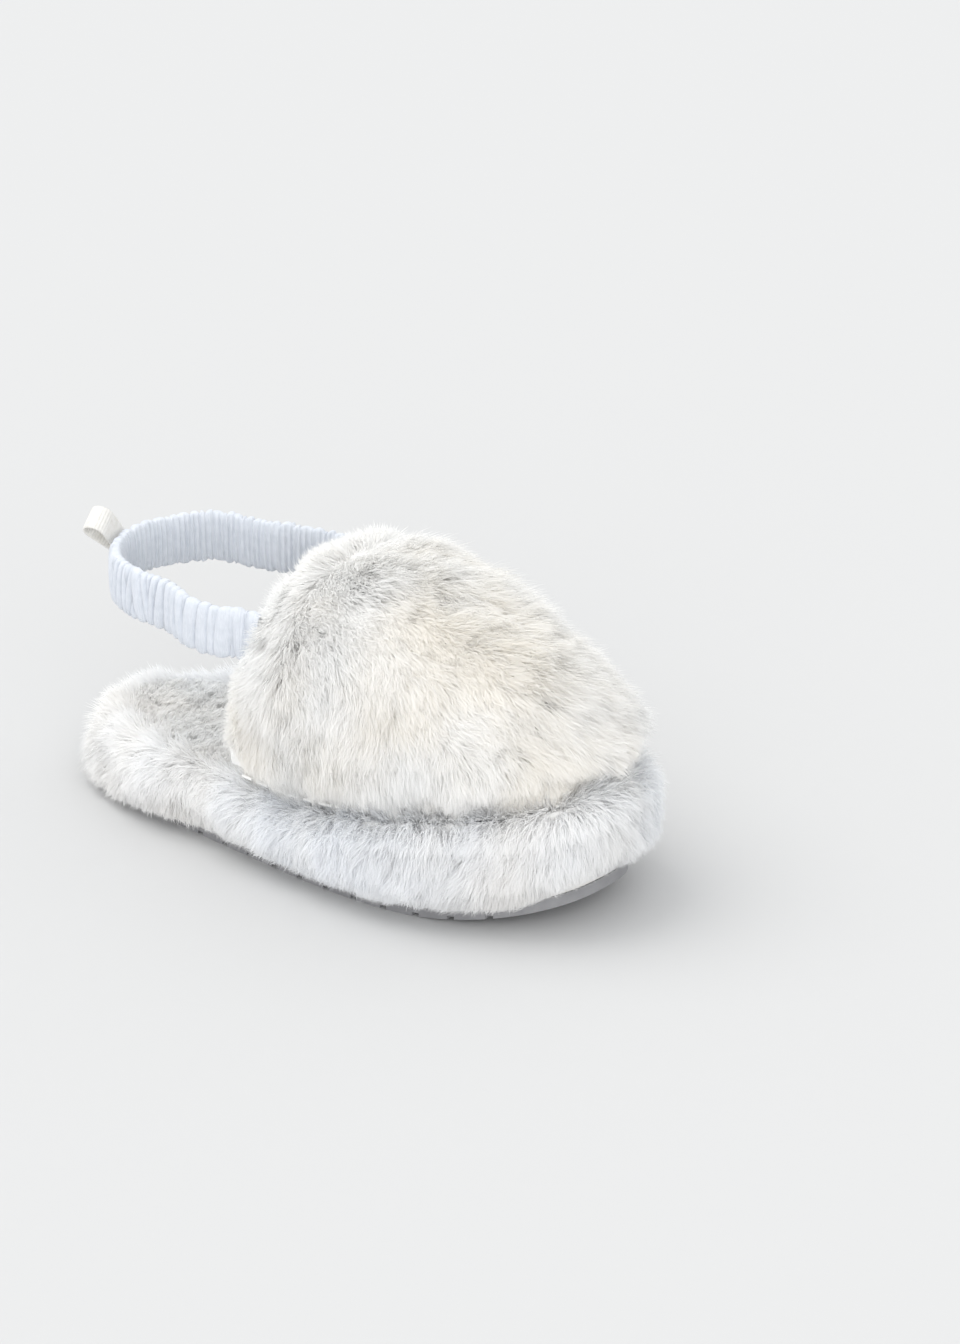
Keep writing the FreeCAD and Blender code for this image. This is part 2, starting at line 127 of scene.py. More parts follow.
def toe_shift(y):
    return TOE_SHIFT * ease((SPRING_Y - y) / 50.0)


def lift(y):
    ahead = np.clip(SPRING_Y - y, 0.0, None)
    return SPRING_RADIUS - np.sqrt(SPRING_RADIUS ** 2 - ahead ** 2)


def rim_height(y):
    """Top of the fur rim, above the sprung floor line."""
    heel_part = (RIM_HEEL - RIM_WAIST) * ease((y - 20.0) / 40.0)
    toe_part = (RIM_TOE - RIM_WAIST) * ease((5.0 - y) / 50.0)
    return RIM_WAIST + heel_part + toe_part


def footprint(turn, inset):
    """x and y of the platform's outline, drawn in by inset."""
    y = (LENGTH / 2 - inset) * power(np.cos(turn), OUTLINE_POWER)
    x = (half_width(y) - inset) * power(np.sin(turn), OUTLINE_POWER) + toe_shift(y)
    return x, y


def vamp_height(y, inset):
    reach = VAMP_CREST_Y - VAMP_FRONT_Y - inset
    ahead = np.clip((VAMP_CREST_Y - y) / reach, 0.0, 1.0)
    along, up = VAMP_HEIGHT_POWERS
    return (VAMP_PEAK_Z - VAMP_BASE_Z - inset) * (1 - ahead ** along) ** up


def vamp_half(y, inset):
    end = np.clip(np.abs(np.minimum(y, 0.0)) / (-VAMP_FRONT_Y - inset), 0.0, 1.0)
    along, across = VAMP_WIDTH_POWERS
    return (half_width(y) + VAMP_OVERHANG - inset) * (1 - end ** along) ** across


def vamp_point(y, turn, inset):
    """Point of the dome at y; turn runs from 0 at the inner side's seam to pi at the outer side's."""
    rise = np.sin(turn)
    tuck = 1 - VAMP_TUCK * (1 - rise) ** 3
    across, up = VAMP_SECTION_POWERS
    x = vamp_half(y, inset) * power(np.cos(turn), across) * tuck + toe_shift(y)
    z = VAMP_BASE_Z + vamp_height(y, inset) * np.abs(rise) ** up
    return np.stack([x, y, z], -1)


def circle_through(a, b, c):
    """Centre and radius of the circle through three points."""
    (ax, ay), (bx, by), (cx, cy) = a, b, c
    d = 2 * (ax * (by - cy) + bx * (cy - ay) + cx * (ay - by))
    a2, b2, c2 = ax * ax + ay * ay, bx * bx + by * by, cx * cx + cy * cy
    ux = (a2 * (by - cy) + b2 * (cy - ay) + c2 * (ay - by)) / d
    uy = (a2 * (cx - bx) + b2 * (ax - cx) + c2 * (bx - ax)) / d
    return ux, uy, math.hypot(ax - ux, ay - uy)


ARC_Y, ARC_Z, ARC_RADIUS = circle_through(TOPLINE_FOOT, TOPLINE_MIDDLE, TOPLINE_HEAD)


def topline_y(z):
    """Rear edge of the vamp at height z."""
    side = 1.0 if ARC_Y < TOPLINE_MIDDLE[0] else -1.0
    return ARC_Y + side * np.sqrt(np.maximum(ARC_RADIUS ** 2 - (z - ARC_Z) ** 2, 0.0))


# ---- Noise --------------------------------------------------------------------------------

NOISE_SIZE = 32
NOISE_TABLE = np.random.default_rng(7).random((NOISE_SIZE,) * 3) * 2 - 1


def noise(points, scale, shift=0.0):
    """Smooth value noise from -1 to 1 at points, with features about scale millimetres across."""
    p = points / scale + shift
    cell = np.floor(p).astype(int)
    f = p - cell
    f = f * f * (3 - 2 * f)
    total = np.zeros(p.shape[:-1])
    for corner in range(8):
        step = np.array([corner & 1, corner >> 1 & 1, corner >> 2 & 1])
        weight = np.prod(np.where(step, f, 1 - f), axis=-1)
        i, j, k = np.moveaxis((cell + step) % NOISE_SIZE, -1, 0)
        total += weight * NOISE_TABLE[i, j, k]
    return total


# ---- Meshes -------------------------------------------------------------------------------

def new_object(name, mesh, material):
    piece = bpy.data.objects.new(name, mesh)
    bpy.context.scene.collection.objects.link(piece)
    mesh.materials.append(material)
    return piece


def mesh_from_arrays(name, points, faces_of_size):
    """Smooth mesh from points in millimetres and a list of face arrays, one array per face size."""
    mesh = bpy.data.meshes.new(name)
    mesh.vertices.add(len(points))
    mesh.vertices.foreach_set("co", (points * MM).astype(np.float32).ravel())
    indices = np.concatenate([faces.ravel() for faces in faces_of_size])
    sizes = np.concatenate([np.full(len(faces), faces.shape[1]) for faces in faces_of_size])
    starts = np.concatenate([[0], np.cumsum(sizes)[:-1]])
    mesh.loops.add(len(indices))
    mesh.loops.foreach_set("vertex_index", indices.astype(np.int32))
    mesh.polygons.add(len(sizes))
    mesh.polygons.foreach_set("loop_start", starts.astype(np.int32))
    mesh.polygons.foreach_set("use_smooth", np.full(len(sizes), True))
    mesh.update(calc_edges=True)
    return mesh


def grid_faces(rows, columns, wrap_columns=False, wrap_rows=False):
    """Quads of a grid of points, rows by columns."""
    i = np.arange(rows if wrap_rows else rows - 1)
    j = np.arange(columns if wrap_columns else columns - 1)
    i, j = np.meshgrid(i, j, indexing="ij")
    i, j = i.ravel(), j.ravel()
    i2, j2 = (i + 1) % rows, (j + 1) % columns
    return np.stack([i * columns + j, i * columns + j2, i2 * columns + j2, i2 * columns + j], -1)


def grid_normals(points, wrap_columns=False):
    """Unit normals of a grid of points, rows by columns."""
    if wrap_columns:
        across = np.roll(points, -1, 1) - np.roll(points, 1, 1)
    else:
        across = np.gradient(points, axis=1)
    along = np.gradient(points, axis=0)
    return unit(np.cross(along, across))


def closed_sheet(name, outer, inner, material, wrap_columns=False):
    """Closed thin shell between two grids of the same size."""
    rows, columns = outer.shape[:2]
    count = rows * columns
    top = grid_faces(rows, columns, wrap_columns)
    bottom = top[:, ::-1] + count
    walls = []
    for row, flip in [(0, False), (rows - 1, True)]:
        j = np.arange(columns if wrap_columns else columns - 1)
        a, b = row * columns + j, row * columns + (j + 1) % columns
        quad = np.stack([b, a, a + count, b + count], -1)
        walls.append(quad[:, ::-1] if flip else quad)
    if not wrap_columns:
        for column, flip in [(0, True), (columns - 1, False)]:
            i = np.arange(rows - 1)
            a, b = i * columns + column, (i + 1) * columns + column
            quad = np.stack([b, a, a + count, b + count], -1)
            walls.append(quad[:, ::-1] if flip else quad)
    points = np.concatenate([outer.reshape(-1, 3), inner.reshape(-1, 3)])
    mesh = mesh_from_arrays(name, points, [np.concatenate([top, bottom, *walls])])
    return new_object(name, mesh, material)


# ---- Materials ----------------------------------------------------------------------------

def new_material(name, roughness, sheen=0.0):
    material = bpy.data.materials.new(name)
    material.use_nodes = True
    shader = material.node_tree.nodes["Principled BSDF"]
    shader.inputs["Roughness"].default_value = roughness
    shader.inputs["Specular IOR Level"].default_value = 0.2
    shader.inputs["Sheen Weight"].default_value = sheen
    shader.inputs["Sheen Roughness"].default_value = 0.5
    shader.inputs["Sheen Tint"].default_value = (1, 1, 1, 1)
    return material, shader


def add_node(material, kind, **settings):
    node = material.node_tree.nodes.new(kind)
    for key, value in settings.items():
        setattr(node, key, value)
    return node


def link(material, source, target):
    material.node_tree.links.new(source, target)


def ramp(material, stops):
    """Colour ramp with (position, colour) stops."""
    node = add_node(material, "ShaderNodeValToRGB")
    elements = node.color_ramp.elements
    for place, colour in stops[1:-1]:
        elements.new(place).color = (*colour, 1)
    elements[0].position, elements[0].color = stops[0][0], (*stops[0][1], 1)
    elements[-1].position, elements[-1].color = stops[-1][0], (*stops[-1][1], 1)
    return node


ROOT_PAINTED_SHADE = 0.95            # brightness of the strands at their roots: painted shade, darker deep in the pile


def pile_material(name, warm, plain, cool):
    """Fur: tint across the pile's UV map from warm to cool, with painted shade making it a little darker at
    the roots, and part translucent, so light passes from strand to strand."""
    material, shader = new_material(name, 0.85, sheen=0.1)
    place = add_node(material, "ShaderNodeUVMap", uv_map="OFBake")
    split = add_node(material, "ShaderNodeSeparateXYZ")
    link(material, place.outputs["UV"], split.inputs["Vector"])
    tint = ramp(material, [(0.05, warm), (0.5, plain), (0.95, cool)])
    link(material, split.outputs["X"], tint.inputs["Fac"])
    # Painted shade: the strands' colour darkens towards their roots, deep in the pile
    depth = ramp(material, [(0.0, (ROOT_PAINTED_SHADE,) * 3), (0.55, (1, 1, 1)), (1.0, (1, 1, 1))])
    link(material, split.outputs["Y"], depth.inputs["Fac"])
    shade = add_node(material, "ShaderNodeMix", data_type="RGBA", blend_type="MULTIPLY")
    shade.inputs["Factor"].default_value = 1.0
    link(material, tint.outputs["Color"], shade.inputs["A"])
    link(material, depth.outputs["Color"], shade.inputs["B"])
    link(material, shade.outputs["Result"], shader.inputs["Base Color"])
    through = add_node(material, "ShaderNodeBsdfTranslucent")
    link(material, shade.outputs["Result"], through.inputs["Color"])
    mixed = add_node(material, "ShaderNodeMixShader")
    mixed.inputs["Fac"].default_value = 0.5
    link(material, shader.outputs["BSDF"], mixed.inputs[1])
    link(material, through.outputs["BSDF"], mixed.inputs[2])
    link(material, mixed.outputs["Shader"], material.node_tree.nodes["Material Output"].inputs["Surface"])
    return material


def cloth_material(name, dark, light, scale, bump, roughness=0.8, sheen=0.2, stretch=(1, 1, 1)):
    """Cloth or foam: mottled colour and a fine bump, both from noise in object space."""
    material, shader = new_material(name, roughness, sheen=sheen)
    place = add_node(material, "ShaderNodeTexCoord")
    mapping = add_node(material, "ShaderNodeMapping")
    mapping.inputs["Scale"].default_value = stretch
    link(material, place.outputs["Object"], mapping.inputs["Vector"])
    broad = add_node(material, "ShaderNodeTexNoise")
    broad.inputs["Scale"].default_value = scale * 0.15
    broad.inputs["Detail"].default_value = 4
    link(material, mapping.outputs["Vector"], broad.inputs["Vector"])
    colour = ramp(material, [(0.3, dark), (0.7, light)])
    link(material, broad.outputs["Fac"], colour.inputs["Fac"])
    link(material, colour.outputs["Color"], shader.inputs["Base Color"])
    fine = add_node(material, "ShaderNodeTexNoise")
    fine.inputs["Scale"].default_value = scale
    fine.inputs["Detail"].default_value = 3
    link(material, mapping.outputs["Vector"], fine.inputs["Vector"])
    relief = add_node(material, "ShaderNodeBump")
    relief.inputs["Strength"].default_value = bump
    relief.inputs["Distance"].default_value = 0.0002
    link(material, fine.outputs["Fac"], relief.inputs["Height"])
    link(material, relief.outputs["Normal"], shader.inputs["Normal"])
    return material


VAMP_FUR = pile_material("vamp_fur_pile", (0.97, 0.955, 0.925), (0.97, 0.967, 0.96), (0.96, 0.968, 0.975))
SIDE_FUR = pile_material("sidewall_fur_pile", (0.97, 0.962, 0.95), (0.965, 0.967, 0.97), (0.95, 0.962, 0.98))
PLUSH = pile_material("footbed_pile", (0.97, 0.962, 0.95), (0.97, 0.97, 0.965), (0.96, 0.968, 0.975))
BACKING = cloth_material("fur_backing", (0.92, 0.915, 0.90), (0.95, 0.945, 0.94), 2500, 0.6)
FLEECE = cloth_material("lining_fleece", (0.84, 0.83, 0.81), (0.91, 0.90, 0.88), 1800, 0.9)
CASING = cloth_material("strap_cotton", (0.58, 0.615, 0.67), (0.65, 0.68, 0.735), 4000, 0.35, 0.55, 0.2)
RIBBON = cloth_material("grosgrain", (0.66, 0.645, 0.61), (0.74, 0.73, 0.71), 5000, 0.4, 0.6, 0.2)
TAPE = cloth_material("binding_tape", (0.83, 0.83, 0.82), (0.90, 0.90, 0.89), 4500, 0.5)
THREAD = cloth_material("thread", (0.86, 0.86, 0.85), (0.93, 0.93, 0.92), 9000, 0.5, 0.5)
FELT = cloth_material("interlining_felt", (0.80, 0.79, 0.77), (0.88, 0.87, 0.85), 1500, 0.8)
BOARD = cloth_material("fibre_board", (0.55, 0.47, 0.36), (0.66, 0.58, 0.46), 900, 0.4, 0.9, 0.0)
FOAM = cloth_material("foam", (0.85, 0.84, 0.79), (0.91, 0.90, 0.86), 2200, 0.7, 0.9, 0.0)
ELASTIC = cloth_material("elastic", (0.82, 0.83, 0.84), (0.90, 0.90, 0.91), 3500, 0.6, 0.7, 0.1, (1, 1, 4))
# The outsole's rubber is dark grey as painted shadow, so that it blends with the contact shadow under the
# fur's hem
SHADOW_DARK_RUBBER = cloth_material("outsole_rubber", (0.25, 0.25, 0.26), (0.30, 0.30, 0.31), 1600, 0.25, 0.6, 0.0)


# ---- Pile ---------------------------------------------------------------------------------

STRAND_WIDTH = 0.18          # at its root; real pile is finer
STRAND_TAPER = (1.0, 0.95, 0.7)      # share of the width at the root and the two joints above it
LOCK_SIZE = 5.0              # strands' tips draw together into locks about this far apart
LOCK_PULL = 0.45             # how strongly
PIECE_STRANDS = 39000                # keeps each piece under 200,000 triangles
DENSITY_SHARE = 1.0


def grid_at(grid, rows, columns, wrap_columns):
    """Grid values at fractional rows and columns."""
    count_r, count_c = grid.shape[:2]
    rows = np.clip(rows, 0, count_r - 1.001)
    if wrap_columns:
        columns = np.mod(columns, count_c)
    else:
        columns = np.clip(columns, 0, count_c - 1.001)
    i, j = np.floor(rows).astype(int), np.floor(columns).astype(int)
    fi, fj = (rows - i)[:, None], (columns - j)[:, None]
    i2, j2 = np.minimum(i + 1, count_r - 1), (j + 1) % count_c
    flat = grid.reshape(count_r, count_c, -1)
    low = flat[i, j] * (1 - fj) + flat[i, j2] * fj
    high = flat[i2, j] * (1 - fj) + flat[i2, j2] * fj
    return low * (1 - fi) + high * fi


def slope_of_noise(points, scale, shift):
    """Gradient of the noise, times its scale."""
    step = 0.05 * scale
    sides = []
    for axis in np.eye(3):
        ahead = noise(points + axis * step, scale, shift)
        behind = noise(points - axis * step, scale, shift)
        sides.append((ahead - behind) / 0.1)
    return np.stack(sides, -1)


def cell_areas(points, wrap_columns):
    following = np.roll(points, -1, 1) if wrap_columns else points[:, 1:]
    here = points if wrap_columns else points[:, :-1]
    diagonal_a = following[1:] - here[:-1]
    diagonal_b = here[1:] - following[:-1]
    return 0.5 * np.linalg.norm(np.cross(diagonal_a, diagonal_b), axis=-1)


def strand_mesh(name, paths, normals, tints, material):
    """Tapered ribbons along paths (strands by 4 points), their faces turned to the surface's normals."""
    count = len(paths)
    along = np.empty_like(paths)
    along[:, 0] = paths[:, 1] - paths[:, 0]
    along[:, 1:-1] = paths[:, 2:] - paths[:, :-2]
    along[:, -1] = paths[:, -1] - paths[:, -2]
    along = unit(along)
    rng = np.random.default_rng(count)
    across = unit(np.cross(along[:, 1], normals))
    roll = rng.normal(0, 0.5, count)[:, None]
    third = np.cross(along[:, 1], across)
    across = across * np.cos(roll) + third * np.sin(roll)
    points = np.empty((count, 7, 3))
    half = STRAND_WIDTH / 2 * rng.uniform(0.8, 1.25, count)[:, None]
    for k, share in enumerate(STRAND_TAPER):
        points[:, 2 * k] = paths[:, k] - across * half * share
        points[:, 2 * k + 1] = paths[:, k] + across * half * share
    points[:, 6] = paths[:, 3]
    base = np.arange(count)[:, None] * 7
    quads = np.concatenate([base + np.array([0, 1, 3, 2]), base + np.array([2, 3, 5, 4])])
    tips = base + np.array([4, 5, 6])
    mesh = mesh_from_arrays(name, points.reshape(-1, 3), [quads, tips])
    heights = np.array([0.02, 0.02, 0.35, 0.35, 0.7, 0.7, 0.98])
    loops = np.concatenate([quads.ravel(), tips.ravel()])
    uv = np.empty((len(loops), 2), np.float32)
    uv[:, 0] = np.repeat(tints, 7)[loops]
    uv[:, 1] = np.tile(heights, count)[loops]
    layer = mesh.uv_layers.new(name="OFBake")
    layer.data.foreach_set("uv", uv.ravel())
    soft = unit(np.cross(across, along[:, 1]) * 0.4 + normals * 0.6)
    mesh.normals_split_custom_set_from_vertices(np.repeat(soft, 7, axis=0).astype(np.float32))
    return new_object(name, mesh, material)


def grow_pile(name, grid, comb, length, material, density, tufts, body, seed, wrap_columns=False, weight=None,
              tuft_radius=0.9, gather=0.75, tilt=(0.35, 1.15), hem=None, warm=0.0):
    """Fur on a grid of points: strands in tufts, combed along comb, about length millimetres long.
    density and tufts are counts per square millimetre. Returns the pieces, which ride on body."""
    rng = np.random.default_rng(seed)
    normals = grid_normals(grid, wrap_columns)
    areas = cell_areas(grid, wrap_columns)
    if weight is not None:
        areas = areas * weight
    share = areas.ravel() / areas.sum()
    tuft_count = int(areas.sum() * tufts * DENSITY_SHARE ** 0.5)
    strand_count = int(areas.sum() * density * DENSITY_SHARE)
    cells = rng.choice(len(share), tuft_count, p=share)
    tuft_row = cells // areas.shape[1] + rng.random(tuft_count)
    tuft_column = cells % areas.shape[1] + rng.random(tuft_count)
    tuft_root = grid_at(grid, tuft_row, tuft_column, wrap_columns)
    row_step = np.linalg.norm(grid_at(grid, tuft_row + 0.5, tuft_column, wrap_columns)
                              - grid_at(grid, tuft_row - 0.5, tuft_column, wrap_columns), axis=1)
    column_step = np.linalg.norm(grid_at(grid, tuft_row, tuft_column + 0.5, wrap_columns)
                                 - grid_at(grid, tuft_row, tuft_column - 0.5, wrap_columns), axis=1)

    owner = rng.integers(0, tuft_count, strand_count)
    spread = rng.normal(0, tuft_radius, (strand_count, 2))
    row = tuft_row[owner] + spread[:, 0] / np.maximum(row_step[owner], 0.05)
    column = tuft_column[owner] + spread[:, 1] / np.maximum(column_step[owner], 0.05)
    root = grid_at(grid, row, column, wrap_columns)
    normal = unit(grid_at(normals, row, column, wrap_columns))
    pull = root - tuft_root[owner]
    lock = slope_of_noise(tuft_root, LOCK_SIZE, 4.6)[owner]

    # Each tuft leans its own way; broad noise turns whole areas together
    turn = 0.6 * noise(tuft_root, 16, 3.3) + 0.4 * noise(tuft_root, 6, 8.1) + rng.normal(0, 0.20, tuft_count)
    turn = turn[owner] + rng.normal(0, 0.16, strand_count)
    flow = grid_at(comb, row, column, wrap_columns)
    flow = unit(flow - normal * np.sum(flow * normal, 1, keepdims=True))
    side = np.cross(normal, flow)
    flow = flow * np.cos(turn)[:, None] + side * np.sin(turn)[:, None]
    lean = 1 + 0.22 * noise(tuft_root, 9, 5.7) + rng.normal(0, 0.10, tuft_count)
    lean = (lean[owner] + rng.normal(0, 0.10, strand_count))[:, None]
    start, end = tilt[0] * lean, np.minimum(tilt[1] * lean, 1.5)
    first = normal * np.cos(start) + flow * np.sin(start)
    last = normal * np.cos(end) + flow * np.sin(end)

    reach = grid_at(length[..., None], row, column, wrap_columns)[:, 0]
    reach = reach * (1 + 0.16 * noise(tuft_root, 7, 1.9) + rng.normal(0, 0.07, tuft_count))[owner]
    reach = (reach * rng.uniform(0.78, 1.1, strand_count))[:, None]
    if np.ndim(gather):
        gather = grid_at(gather[..., None], row, column, wrap_columns)
    steps = np.array([0.0, 0.36, 0.70, 1.0])
    paths = np.empty((strand_count, 4, 3))
    wave = rng.normal(0, 0.16, (strand_count, 3))
    for k, t in enumerate(steps):
        paths[:, k] = root + reach * (first * t + (last - first) * t * t / 2)
        paths[:, k] += lock * LOCK_PULL * t ** 1.4 - pull * gather * t ** 1.3
        paths[:, k] += wave * math.sin(3.0 * t)
    if hem is not None:
        ragged = rng.uniform(0, 1.3, strand_count)[:, None]
        edge = np.minimum(hem(paths[..., 1]) + ragged, root[:, None, 2])
        paths[..., 2] = np.maximum(paths[..., 2], edge)
    paths[:, :, 2] = np.maximum(paths[:, :, 2], FLOOR_CLEARANCE)

    patch = noise(root, 22, 6.4) * 0.5 + noise(root, 8, 2.2) * 0.25
    tints = np.clip(0.5 - warm + patch * 0.8 + rng.normal(0, 0.10, strand_count), 0.02, 0.98)
    pieces = []
    chunks = max(1, math.ceil(strand_count / PIECE_STRANDS))
    order = np.argsort(column if wrap_columns else row, kind="stable")
    for k, chosen in enumerate(np.array_split(order, chunks)):
        piece = strand_mesh(f"{name}_{k + 1}", paths[chosen], normal[chosen], tints[chosen], material)
        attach(piece, body)
        pieces.append(piece)
    return pieces


# ---- Vamp ---------------------------------------------------------------------------------

PILE_DEPTH = 5.6             # from the fur's outer shape down to its backing
BACKING_THICKNESS = 1.2
VAMP_STRAND = 9.0            # usual length of the vamp's strands
VAMP_DENSITY = 28            # strands per square millimetre
SLOPE_SLIM = 2.4             # how far the dome's front slope is drawn in
SLOPE_Y = -34.0              # the middle of that slope
EDGE_ROLL = 2.6              # radius of the backing's rolled rear edge
EDGE_ROLL_ROWS = 7           # grid rows in that roll
SEAM_ROLL = 2.0              # radius of its rolled edge along the seam
SEAM_ROLL_ROWS = 5
VAMP_FORWARD = 6.4           # how far its rear edge lies ahead of the topline, to leave room for fur
VAMP_SEAM_GAP = 1.4          # height of its seam above the line of the fur rim


def vamp_grid(inset, rows, columns, edge_roll, seam_roll, forward, seam_gap):
    """Grid over the dome from its nose to the topline, with its rear edge and seams rolled under.
    Rows run from the toe back, columns from the inner seam over the top to the outer seam."""
    share = np.linspace(0, 1, columns)
    ys = np.linspace(VAMP_FRONT_Y + inset, VAMP_CREST_Y, 400)
    peaks = VAMP_BASE_Z + vamp_height(ys, inset)
    nose_y = ys[np.argmax(peaks > rim_height(ys) + lift(ys) + toe_swell(ys) + seam_gap)] + 0.2

    def turn_at(y):
        floor = rim_height(y) + lift(y) + toe_swell(y) + seam_gap - VAMP_BASE_Z
        filled = np.clip(floor / np.maximum(vamp_height(y, inset), 1e-6), 0.0, 1.0)
        rise = filled ** (1 / VAMP_SECTION_POWERS[1])
        low = np.arcsin(rise)
        return low + share * (math.pi - 2 * low)

    rear_y = np.full(columns, 12.0)
    for _ in range(6):
        rear = vamp_point(rear_y, turn_at(rear_y), inset)
        rear_y = topline_y(rear[:, 2]) - forward
    points = []
    for step in np.linspace(0, 1, rows):
        y = nose_y + (rear_y - nose_y) * step ** 1.25
        points.append(vamp_point(y, turn_at(y), inset))
    grid = np.array(points)
    slope = np.exp(-((grid[..., 1] - SLOPE_Y) / 17.0) ** 2) * ease((grid[..., 2] - 30.0) / 20.0)
    grid -= grid_normals_out(grid) * (SLOPE_SLIM * slope)[..., None]

    if seam_roll:
        grid = np.swapaxes(grid, 0, 1)
        grid = roll_edge(grid, seam_roll, SEAM_ROLL_ROWS, 1.9)[::-1]
        grid = roll_edge(grid, seam_roll, SEAM_ROLL_ROWS, 1.9)[::-1]
        grid = np.swapaxes(grid, 0, 1)
    if edge_roll:
        grid = roll_edge(grid, edge_roll, EDGE_ROLL_ROWS, 2.3)
    return grid


def roll_edge(grid, radius, count, sweep):
    """Adds rows past the last one that curl inwards round a radius, through an angle of sweep."""
    normals = grid_normals(grid)
    normal = normals[-1]
    if np.sum(normal * (grid[-1] - grid.mean((0, 1)))) < 0:
        normal = -normal
    ahead = unit(grid[-1] - grid[-3])
    rows = [grid]
    for k in range(1, count + 1):
        angle = sweep * k / count
        row = grid[-1] + radius * (math.sin(angle) * ahead + (math.cos(angle) - 1) * normal)
        rows.append(row[None])
    return np.concatenate(rows)


def grid_normals_out(grid):
    normals = grid_normals(grid)
    return normals if np.sum(normals * (grid - grid.mean((0, 1)))) > 0 else -normals


def outward(grid, wrap_columns=False):
    """Grid whose normals point outwards, its columns reversed if they don't."""
    normals = grid_normals(grid, wrap_columns)
    if np.sum(normals * (grid - grid.mean((0, 1)))) < 0:
        return grid[:, ::-1]
    return grid


def make_vamp():
    grid = outward(vamp_grid(PILE_DEPTH, 110, 120, EDGE_ROLL, SEAM_ROLL, VAMP_FORWARD, VAMP_SEAM_GAP))
    normals = grid_normals(grid)
    swells = 0.9 * noise(grid, 10, 7.7) * ease((50 - grid[..., 2]) / 20)
    grid = grid + normals * swells[..., None]
    normals = grid_normals(grid)
    lumps = 0.5 * noise(grid, 5, 1.1)[..., None]
    outer = grid + normals * (0.5 + lumps)
    inner = grid - normals * (BACKING_THICKNESS / 2)
    backing = closed_sheet("vamp_backing", outer, inner, BACKING)
    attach(backing, "slipper")
    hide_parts("vamp_fur")

    comb = np.broadcast_to(np.array([0.0, -0.45, -1.0]), grid.shape).copy()
    edge_row = -EDGE_ROLL_ROWS - 1
    from_topline = np.linalg.norm(grid - grid[edge_row][None], axis=-1)
    seams = np.stack([grid[:, SEAM_ROLL_ROWS], grid[:, -SEAM_ROLL_ROWS - 1]])
    from_seam = np.linalg.norm(grid[None] - seams[:, :, None], axis=-1).min(0)
    comb[..., 1] -= ease((grid[..., 2] - 48) / 15) * ease((from_topline - 1) / 6)
    comb[..., 1] += 0.8 * ease((7 - from_topline) / 5)
    # Over the rolled rear edge the fur lies away from the opening
    comb[-EDGE_ROLL_ROWS:] = normals[edge_row] + np.array([0.0, 0.3, -0.3])
    length = VAMP_STRAND + 0.9 * noise(grid, 14, 4.4)
    length *= 1 - 0.34 * ease((9 - from_topline) / 9)
    length[-EDGE_ROLL_ROWS:] *= 0.8
    seam_cut = 0.62 - 0.27 * ease((grid[..., 1] + 6) / 14)
    length *= 1 - seam_cut * ease((10 - from_seam) / 9)
    length *= 1 + 0.35 * noise(grid, 7, 5.5) * ease((14 - from_seam) / 12)
    gather = 0.35 + 0.35 * ease((36 - grid[..., 2]) / 16)
    pile = grow_pile("vamp_pile", grid, comb, length, VAMP_FUR, VAMP_DENSITY, 0.8, "slipper", 21,
                     tilt=(0.6, 1.32), gather=gather, warm=0.12)


# ---- Platform -----------------------------------------------------------------------------

# Cross-section of the fur cover's backing: inset from the outline, height above the sole line,
# and whether that height is measured from the rim
SIDE_PROFILE = [
    (9.6, 2.2, 0),
    (8.0, 1.7, 0),
    (6.3, 3.0, 0),
    (5.0, 6.4, 0),
    (4.4, 10.4, 0),
    (4.8, -6.6, 1),
    (6.4, -4.4, 1),
    (8.4, -4.2, 1),
    (9.9, -5.6, 1),
    (10.3, -8.6, 1),
]
TOE_SWELL = 3.2              # how much higher the fur's rim stands round the toe
HEEL_DROP = 1.8              # how much lower it lies round the heel
HEEL_SLIM = 1.8              # how far the heel's upper half is drawn in
HEEL_START_Y = 42.0          # where the heel's own shape begins
HEEL_RUN = 22                # and how far back it takes to reach its full effect
RIM_NOMINAL = 20             # the rim's height, for profile heights that are measured from it
SIDE_STRAND = 7.4            # usual length of the sidewall's strands
SIDE_DENSITY = 23            # strands per square millimetre
HEM_TABLE = np.array([       # height of the fur's lower edge above the sole line, by y
    (-75.0, 4.8), (-66.0, 4.0), (-58.0, 1.8), (-50.0, 2.8), (-38.0, 4.6),
    (8.0, 4.4), (35.0, 2.8), (55.0, 1.6), (75.0, 1.4),
])
WAIST_Y = 16.0
WAIST_SLIM = 2.0             # how far the outer side's lower half is drawn in at the waist
TOE_UNDERCUT = 4.5           # how much further the lower edge is drawn in under the toe


